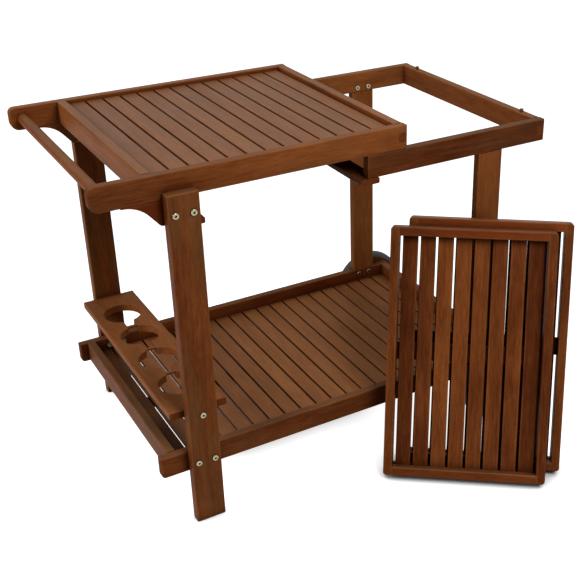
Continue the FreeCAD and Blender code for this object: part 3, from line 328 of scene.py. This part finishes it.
def wood_tone(tree, given, layers, x, chance):
    """How pale the wood is here, from its grain, its board and the drift along the piece."""
    mixed = 0.0
    for name, share in TONE_SHARES.items():
        mixed = math_node(tree, "MULTIPLY_ADD", layers[name], share, mixed)
    mixed = math_node(tree, "MULTIPLY_ADD", math_node(tree, "SUBTRACT", mixed, 0.5), GRAIN_CONTRAST, 0.5)
    scatter = math_node(tree, "SUBTRACT", chance["Value"], 0.5)
    own_tone = math_node(tree, "MULTIPLY_ADD", scatter, given["Variety"], given["Tone"])
    own_tone = math_node(tree, "MULTIPLY_ADD", x, given["Drift"], own_tone)
    return math_node(tree, "ADD", mixed, own_tone)


def edge_wear(tree, half_size, place, blotch):
    """1 on edges that handling has rubbed, 0 away from them, by how near the second nearest side is."""
    near_x, near_y, near_z = [
        math_node(tree, "SUBTRACT", half, math_node(tree, "ABSOLUTE", spot))
        for half, spot in zip(split(tree, half_size), place)]
    nearer = math_node(tree, "MINIMUM", near_y, near_z)
    further = math_node(tree, "MAXIMUM", near_y, near_z)
    to_edge = math_node(tree, "MAXIMUM", nearer, math_node(tree, "MINIMUM", further, near_x))
    rubbed = between(tree, to_edge, *EDGE_WIDTH, 1.0, 0.0)
    return math_node(tree, "MULTIPLY", rubbed, between(tree, blotch, *EDGE_BLOTCHES, LEAST_RUBBED, 1.0))


def timber_colour(tree, given, layers, tone, worn, pores, end):
    colour = ramp(tree, tone, WOOD_STOPS)
    weathered = between(tree, layers["patch"], *PATCH_NOISE, 0.0, given["Weather"])
    colour = tint(tree, weathered, colour, WEATHERED)
    colour = tint(tree, given["Stain"], colour, RED_STAIN)
    colour = tint(tree, math_node(tree, "MULTIPLY", pores, PORE_DARKNESS), colour, DARK_FIBRE)
    colour = tint(tree, math_node(tree, "MULTIPLY", worn, EDGE_WEAR), colour, PALE_WOOD)

    # Cut ends soak up more oil and show the fibres end on
    end_colour = ramp(tree, layers["speck"], END_STOPS)
    end_share = between(tree, given["Upward"], *LOOKS_UP, END_SHARE, END_SHARE_ABOVE)
    colour = mix_colour(tree, math_node(tree, "MULTIPLY", end, end_share), colour, end_colour)

    # Polished faces that look up are painted paler and greyer, a painted sheen
    painted_sheen = math_node(tree, "MULTIPLY", given["Polish"], PAINTED_SHEEN_PER_POLISH)
    painted_sheen = math_node(tree, "MINIMUM", painted_sheen, MOST_PAINTED_SHEEN)
    colour = tint(tree, between(tree, given["Upward"], *LOOKS_UP, 0.0, painted_sheen), colour, PAINTED_SHEEN_WOOD)

    # Painted shade: corners and gaps are darker by how open they are
    corner_shade = between(tree, openness(tree, CORNER_REACH, 6), *CORNER_OPENNESS, CORNER_PAINTED_SHADE, 0.0)
    return tint(tree, corner_shade, colour, PAINTED_SHADE_RED)


def timber_group():
    tree = bpy.data.node_groups.new("timber", "ShaderNodeTree")
    for name, kind in TIMBER_INPUTS.items():
        tree.interface.new_socket(name, in_out="INPUT", socket_type="NodeSocket" + kind)
    for name, kind in TIMBER_OUTPUTS.items():
        tree.interface.new_socket(name, in_out="OUTPUT", socket_type="NodeSocket" + kind)
    given = new_node(tree, "NodeGroupInput").outputs
    result = new_node(tree, "NodeGroupOutput").inputs

    place, chance = place_on_board(tree, given)
    layers = grain_layers(tree, place, chance)
    tone = wood_tone(tree, given, layers, place[0], chance)
    worn = edge_wear(tree, given["Half size"], place, layers["blotch"])
    pores = between(tree, layers["pore"], *PORE_NOISE)
    along_grain = math_node(tree, "ABSOLUTE", split(tree, given["Facing"])[0])
    end = math_node(tree, "POWER", along_grain, END_SHARPNESS)
    feed(tree, result["Color"], timber_colour(tree, given, layers, tone, worn, pores, end))

    roughness = between(tree, layers["streak"], *USUAL_NOISE, *WOOD_ROUGHNESS)
    feed(tree, result["Roughness"], math_node(tree, "MULTIPLY_ADD", end, END_ROUGHNESS, roughness))
    feed(tree, result["Sheen"], between(tree, given["Upward"], *SHEEN_UPWARD, DULL, given["Polish"]))
    ridges = math_node(tree, "MULTIPLY", layers["fibre"], FIBRE_RELIEF)
    pits = math_node(tree, "MULTIPLY", pores, PORE_RELIEF)
    feed(tree, result["Height"], math_node(tree, "SUBTRACT", ridges, pits))
    return tree


TIMBER = timber_group()


def board_frame(node, axes):
    """The turn of a node's grain, across and thickness axes, and its low and high corners along them."""
    basis = Matrix(axes).transposed()
    turned = [basis.transposed() @ vertex.co for vertex in nodes[node].data.vertices]
    low = Vector([min(point[axis] for point in turned) for axis in range(3)])
    high = Vector([max(point[axis] for point in turned) for axis in range(3)])
    return basis, low, high


def in_board_axes(tree, source, turn, centre):
    """A place or direction of the node in the board's own axes."""
    made = new_node(tree, "ShaderNodeMapping", vector_type="TEXTURE")
    made.inputs["Location"].default_value = centre
    made.inputs["Rotation"].default_value = turn
    feed(tree, made.inputs["Vector"], source)
    return made.outputs[0]


def row_tone(tree, place, pitch, tones):
    """The tone of each board in a row, from a list, which for some slats holds painted shade."""
    number = math_node(tree, "ROUND", math_node(tree, "DIVIDE", split(tree, place)[1], pitch))
    own = stepped(tree, number, [0.5 + tone for tone in tones])
    return math_node(tree, "SUBTRACT", own, 0.5)


def timber(node, axes, seed, row=None):
    """Wood for one node, which is a single board or a row of them."""
    basis, low, high = board_frame(node, axes)
    centre = (low + high) / 2
    half = (high - low) / 2
    pitch = ONE_BOARD
    if row:
        pitch = (high.y - low.y - row["width"]) / (row["count"] - 1)
        centre.y = low.y + row["width"] / 2
        half.y = row["width"] / 2
    material, tree, shader = new_material("timber_" + node)
    coordinates = new_node(tree, "ShaderNodeTexCoord").outputs
    turn = basis.to_euler("XYZ")
    place = in_board_axes(tree, coordinates["Object"], turn, basis @ centre)
    tone = TONES_AND_SHADE.get(node, 0.0)
    if row and "tones" in row:
        tone = row_tone(tree, place, pitch, row["tones"])
    settings = {
        "Position": place, "Facing": in_board_axes(tree, coordinates["Normal"], turn, Vector()),
        "Half size": half, "Upward": split(tree, coordinates["Normal"])[2], "Pitch": pitch, "Seed": seed,
        "Tone": tone, "Drift": TONE_AND_SHADE_DRIFTS.get(node, 0.0), "Variety": row["variety"] if row else 0.0,
        "Polish": POLISH.get(node, USUAL_POLISH),
        "Weather": WEATHER.get(node, TRAY_WEATHER if "_tray_" in node else USUAL_WEATHER),
        "Stain": STAIN.get(node, 0.0),
    }
    wood = new_node(tree, "ShaderNodeGroup", node_tree=TIMBER)
    for name, setting in settings.items():
        feed(tree, wood.inputs[name], setting)
    feed(tree, shader.inputs["Base Color"], wood.outputs["Color"])
    feed(tree, shader.inputs["Roughness"], wood.outputs["Roughness"])
    feed(tree, shader.inputs["Specular IOR Level"], wood.outputs["Sheen"])
    shader.inputs["Specular Tint"].default_value = WARM_GLINT
    bump(tree, shader, wood.outputs["Height"], RELIEF_DEPTH, RELIEF_STRENGTH)
    return material


# Zinc-plated steel, with painted shade in the sockets of the bolts

DULL_ZINC = (0.18, 0.16, 0.10)
BRIGHT_ZINC = (0.40, 0.36, 0.24)
# The near black of the painted shade in the bolt sockets
SOCKET_PAINTED_SHADE = (0.012, 0.010, 0.008)
SOCKET_REACH = 0.005
SOCKET_OPENNESS = (0.45, 0.9)
ZINC_CLOUDS = 260.0
ZINC_SPANGLES = 900.0
ZINC_ROUGHNESS = (0.18, 0.34)


def steel():
    material, tree, shader = new_material("zinc_steel")
    place = object_place(tree)
    cloud = noise(tree, place, ZINC_CLOUDS, 4.0, 0.6)
    spangle = noise(tree, place, ZINC_SPANGLES, 2.0)
    colour = ramp(tree, cloud, zip(USUAL_NOISE, (DULL_ZINC, BRIGHT_ZINC)))
    # Painted shade: the bolt sockets are darkened by how open they are
    socket_shade = between(tree, openness(tree, SOCKET_REACH, 8), *SOCKET_OPENNESS, 1.0, 0.0)
    feed(tree, shader.inputs["Base Color"], tint(tree, socket_shade, colour, SOCKET_PAINTED_SHADE))
    shader.inputs["Metallic"].default_value = 1.0
    feed(tree, shader.inputs["Roughness"], between(tree, spangle, *USUAL_NOISE, *ZINC_ROUGHNESS))
    bump(tree, shader, spangle, 0.0001, 0.3)
    return material


# Tyre rubber, dusty in places

CLEAN_RUBBER = (0.012, 0.013, 0.012)
WORN_RUBBER = (0.030, 0.033, 0.030)
DUSTY_RUBBER = (0.075, 0.075, 0.068)
RUBBER_STOPS = ((0.35, CLEAN_RUBBER), (0.62, WORN_RUBBER), (0.8, DUSTY_RUBBER))
DUST_PATCHES = 38.0
DUST_NOISE = (0.3, 0.8)
RUBBER_PEBBLES = 1400.0
RUBBER_ROUGHNESS = (0.55, 0.85)


def rubber():
    material, tree, shader = new_material("tyre_rubber")
    place = object_place(tree)
    dust = noise(tree, place, DUST_PATCHES, 5.0, 0.65)
    pebble = noise(tree, place, RUBBER_PEBBLES, 2.0)
    feed(tree, shader.inputs["Base Color"], ramp(tree, dust, RUBBER_STOPS))
    feed(tree, shader.inputs["Roughness"], between(tree, dust, *DUST_NOISE, *RUBBER_ROUGHNESS))
    bump(tree, shader, pebble, 0.0003, 0.4)
    return material


# Black plastic of the wheel bushes

DARK_PLASTIC = (0.016, 0.016, 0.017)
GREY_PLASTIC = (0.034, 0.034, 0.036)
PLASTIC_GRAIN = 1800.0
PLASTIC_ROUGHNESS = (0.42, 0.60)


def bush_plastic():
    material, tree, shader = new_material("bush_plastic")
    grainy = noise(tree, object_place(tree), PLASTIC_GRAIN, 2.0)
    colour = ramp(tree, grainy, zip(USUAL_NOISE, (DARK_PLASTIC, GREY_PLASTIC)))
    feed(tree, shader.inputs["Base Color"], colour)
    feed(tree, shader.inputs["Roughness"], between(tree, grainy, *USUAL_NOISE, *PLASTIC_ROUGHNESS))
    bump(tree, shader, grainy, 0.0002, 0.3)
    return material


# Which way the grain runs in each piece: along it, across it and through its thickness

X_AXIS = Vector((1, 0, 0))
Y_AXIS = Vector((0, 1, 0))
Z_AXIS = Vector((0, 0, 1))
ALONG = (X_AXIS, Z_AXIS, -Y_AXIS)
ALONG_FLAT = (X_AXIS, Y_AXIS, Z_AXIS)
ACROSS = (Y_AXIS, Z_AXIS, X_AXIS)
ACROSS_FLAT = (Y_AXIS, -X_AXIS, Z_AXIS)
ACROSS_ROW = (Y_AXIS, X_AXIS, -Z_AXIS)
UPRIGHT = (Z_AXIS, X_AXIS, Y_AXIS)

GRAINS = {
    "top_rail": ALONG, "frame_rail": ALONG, "shelf_rail": ALONG, "handle_bracket": ALONG, "axle_block": ALONG,
    "wheel_disc": ALONG, "top_cleats": ALONG_FLAT, "shelf_cleats": ALONG_FLAT, "top_batten": ALONG_FLAT,
    "shelf_batten": ALONG_FLAT, "top_end_rail": ACROSS, "shelf_end_rail": ACROSS, "frame_end_rail": ACROSS,
    "handle_bar": ACROSS, "left_crossbar": ACROSS_FLAT, "frame_crossbar": ACROSS_FLAT,
    "bottle_board": ACROSS_FLAT, "left_leg": UPRIGHT, "right_leg": UPRIGHT, "frame_pegs": UPRIGHT,
    "dowels": UPRIGHT,
}
ROWS = {"top_slats": (ACROSS_ROW, TOP_SLATS), "shelf_slats": (ACROSS_ROW, SHELF_SLATS)}


def tray_axes(tray):
    """Across, depth and up directions of a leaning tray."""
    lean = math.radians(TRAY_LEANS[tray])
    turn = Euler((-lean, 0.0, math.radians(TRAY_TURNS[tray])), "XYZ").to_matrix()
    return turn.col[0], turn.col[1], turn.col[2]


def grain_of(node):
    """The axes, and for slats the row, of a wooden node."""
    if node in ROWS:
        return ROWS[node]
    for tray in TRAY_LEANS:
        if node.startswith(tray + "_tray"):
            across, depth, up = tray_axes(tray)
            if node.endswith("_slats"):
                return (up, across, depth), TRAY_SLATS
            if "_side_" in node:
                return (up, depth, across), None
            return (across, depth, up), None
    return next(axes for start, axes in GRAINS.items() if node.startswith(start)), None


# A material on every piece

STEEL_NODES = ("axle", "axle_washers", "axle_caps", "leg_bolts", "leg_bolt_nuts", "rack_bolts",
               "rack_barrel_nuts", "right_leg_bolts", "crossbar_screws", "axle_block_screws")
STEEL = steel()
RUBBER = rubber()
PLASTIC = bush_plastic()


def dress(node, material):
    mesh = nodes[node].data
    mesh.materials.clear()
    mesh.materials.append(material)


for seed, name in enumerate(sorted(nodes)):
    if name in STEEL_NODES:
        dress(name, STEEL)
    elif name.startswith("tyre"):
        dress(name, RUBBER)
    elif name.startswith("wheel_bush"):
        dress(name, PLASTIC)
    else:
        grain_axes, board_row = grain_of(name)
        dress(name, timber(name, grain_axes, float(seed), board_row))


# Floor, world, lamps and camera

WHITE = (1.0, 1.0, 1.0, 1.0)
FLOOR_REACH = 30.0
FLOOR_COLOURS = ((0.59, 0.59, 0.59), (0.61, 0.61, 0.61))
FLOOR_CLOUDS = 0.6
FLOOR_ROUGHNESS = 0.9
SKY_LIGHT = 0.14

# How far the floor is lifted to white for the camera: least in a box under the shelf, and none in tight gaps
SHADE_LIFT = 0.03
WHITE_LIFT = 1.0
SHADE_CENTRE = (-0.04, 0.16)
SHADE_BOX = (0.13, 0.20)
SHADE_FADE = 0.15
GAP_REACH = 0.10
GAP_OPENNESS = (0.25, 0.9)

# Place, target, size and watts of each lamp
LAMPS = {
    "key": ((0.3, -2.0, 2.15), (0.0, 0.0, 0.45), 1.3, 49.5),
    "side": ((-4.0, 0.3, 2.4), (0.0, 0.0, 0.5), 2.0, 125.0),
}


def seen_ray(tree):
    """1 for rays that the camera sends straight, through glass or off a mirror, 0 for the rest."""
    path = new_node(tree, "ShaderNodeLightPath")
    seen = math_node(tree, "MAXIMUM", path.outputs["Is Camera Ray"], path.outputs["Is Glossy Ray"])
    return math_node(tree, "MAXIMUM", seen, path.outputs["Is Transmission Ray"])


def floor_lift(tree, place):
    """How far the floor is lifted to white at a place, before the kind of ray is asked."""
    aside = vector_math(tree, "ABSOLUTE", vector_math(tree, "SUBTRACT", place, (*SHADE_CENTRE, 0.0)))
    beyond = vector_math(tree, "SUBTRACT", aside, (*SHADE_BOX, 0.0))
    away = new_node(tree, "ShaderNodeVectorMath", operation="LENGTH")
    feed(tree, away.inputs[0], vector_math(tree, "MAXIMUM", beyond, (0.0, 0.0, 0.0)))
    lift = between(tree, away.outputs["Value"], 0.0, SHADE_FADE, SHADE_LIFT, WHITE_LIFT)
    return math_node(tree, "MULTIPLY", lift, between(tree, openness(tree, GAP_REACH, 16), *GAP_OPENNESS))


def floor():
    mesh = bpy.data.meshes.new("floor")
    signs = ((-1, -1), (1, -1), (1, 1), (-1, 1))
    mesh.from_pydata([(x * FLOOR_REACH, y * FLOOR_REACH, 0) for x, y in signs], [], [(0, 1, 2, 3)])
    plane = bpy.data.objects.new("floor", mesh)
    bpy.context.scene.collection.objects.link(plane)
    material, tree, shader = new_material("pale_floor")
    place = object_place(tree)
    cloud = noise(tree, place, FLOOR_CLOUDS, 2.0)
    feed(tree, shader.inputs["Base Color"], ramp(tree, cloud, zip(USUAL_NOISE, FLOOR_COLOURS)))
    shader.inputs["Roughness"].default_value = FLOOR_ROUGHNESS
    shader.inputs["Specular IOR Level"].default_value = 0.0
    shader.inputs["Emission Color"].default_value = WHITE
    lift = math_node(tree, "MULTIPLY", floor_lift(tree, place), seen_ray(tree))
    feed(tree, shader.inputs["Emission Strength"], lift)
    mesh.materials.append(material)


def world():
    scene_world = bpy.data.worlds.new("studio")
    bpy.context.scene.world = scene_world
    scene_world.use_nodes = True
    tree = scene_world.node_tree
    background = tree.nodes["Background"]
    background.inputs["Color"].default_value = WHITE
    feed(tree, background.inputs["Strength"], between(tree, seen_ray(tree), 0.0, 1.0, SKY_LIGHT, 1.0))


def lamp(name, place, target, size, power):
    light = bpy.data.lights.new(name, "AREA")
    light.shape = "DISK"
    light.size = size
    light.energy = power
    holder = bpy.data.objects.new(name, light)
    holder.location = place
    holder.rotation_mode = "QUATERNION"
    holder.rotation_quaternion = (Vector(target) - Vector(place)).to_track_quat("-Z", "Y")
    bpy.context.scene.collection.objects.link(holder)


def camera():
    data = bpy.data.cameras.new("camera")
    data.sensor_width = SENSOR_WIDTH
    data.lens = FOCAL_PIXELS / PHOTO_SIDE * SENSOR_WIDTH
    data.shift_x = 0.5 - CENTRE_PIXEL[0] / PHOTO_SIDE
    data.shift_y = CENTRE_PIXEL[1] / PHOTO_SIDE - 0.5
    azimuth = math.radians(CAMERA_AZIMUTH)
    elevation = math.radians(CAMERA_ELEVATION)
    roll = math.radians(CAMERA_ROLL)
    back = Vector((math.sin(azimuth) * math.cos(elevation), -math.cos(azimuth) * math.cos(elevation),
                   math.sin(elevation)))
    right = Vector((math.cos(azimuth), math.sin(azimuth), 0))
    up = back.cross(right)
    turned_right = right * math.cos(roll) + up * math.sin(roll)
    turned_up = up * math.cos(roll) - right * math.sin(roll)
    holder = bpy.data.objects.new("camera", data)
    turn = Matrix((turned_right, turned_up, back)).transposed().to_4x4()
    holder.matrix_world = Matrix.Translation(CAMERA_PLACE) @ turn
    bpy.context.scene.collection.objects.link(holder)
    bpy.context.scene.camera = holder


floor()
world()
for lamp_name, values in LAMPS.items():
    lamp(lamp_name, *values)
camera()
bpy.context.scene.view_settings.view_transform = "Standard"

bpy.context.view_layer.update()
